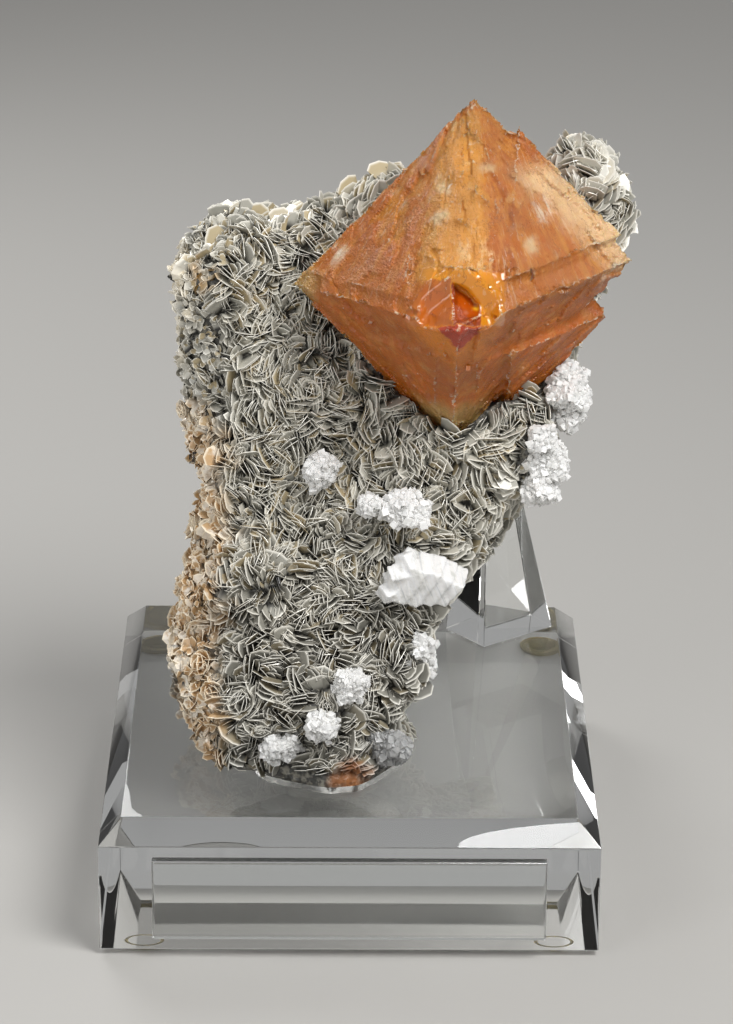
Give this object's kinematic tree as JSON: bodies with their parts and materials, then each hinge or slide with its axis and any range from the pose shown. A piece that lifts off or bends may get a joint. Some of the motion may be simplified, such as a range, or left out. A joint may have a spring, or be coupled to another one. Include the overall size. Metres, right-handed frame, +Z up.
{
  "type": "scheelite crystal specimen on display stand",
  "caption": "Orange scheelite dipyramid on silvery muscovite with white calcite, standing in a recessed clear acrylic block and leaning on a rear post.",
  "frame": {"origin": "centre of the bounding box, on the plane that the feet stand on", "axes": "+Z up; -Y towards the viewer, the way the label plate faces; +X to the viewer's right"},
  "size_m": [0.1578, 0.1754, 0.2364],
  "materials": {
    "scheelite": "orange translucent crystal with striated, stepped faces and white veils inside",
    "muscovite": "silver-grey pearly mica blades with pale edges, tan at the lower left",
    "calcite": "milky white crystal, sugary to striated",
    "quartz": "glassy colourless crystal, slightly cloudy",
    "acrylic": "clear polished acrylic",
    "bumper": "clear soft bumper, slightly yellowed"
  },
  "bodies": {
    "root": {"scheelite_crystal": "scheelite", "muscovite_matrix": "muscovite", "calcite_large": "calcite", "calcite_upper": "calcite", "calcite_right_upper": "calcite", "calcite_right_lower": "calcite", "calcite_left": "calcite", "calcite_centre_low": "calcite", "calcite_left_low": "calcite", "calcite_foot_left": "calcite", "calcite_flank": "calcite", "quartz_foot": "quartz", "display_block": "acrylic", "support_post": "acrylic", "label_plate": "acrylic", "foot_front_left": "bumper", "foot_front_right": "bumper", "foot_back_left": "bumper", "foot_back_right": "bumper"}
  },
  "joints": []
}
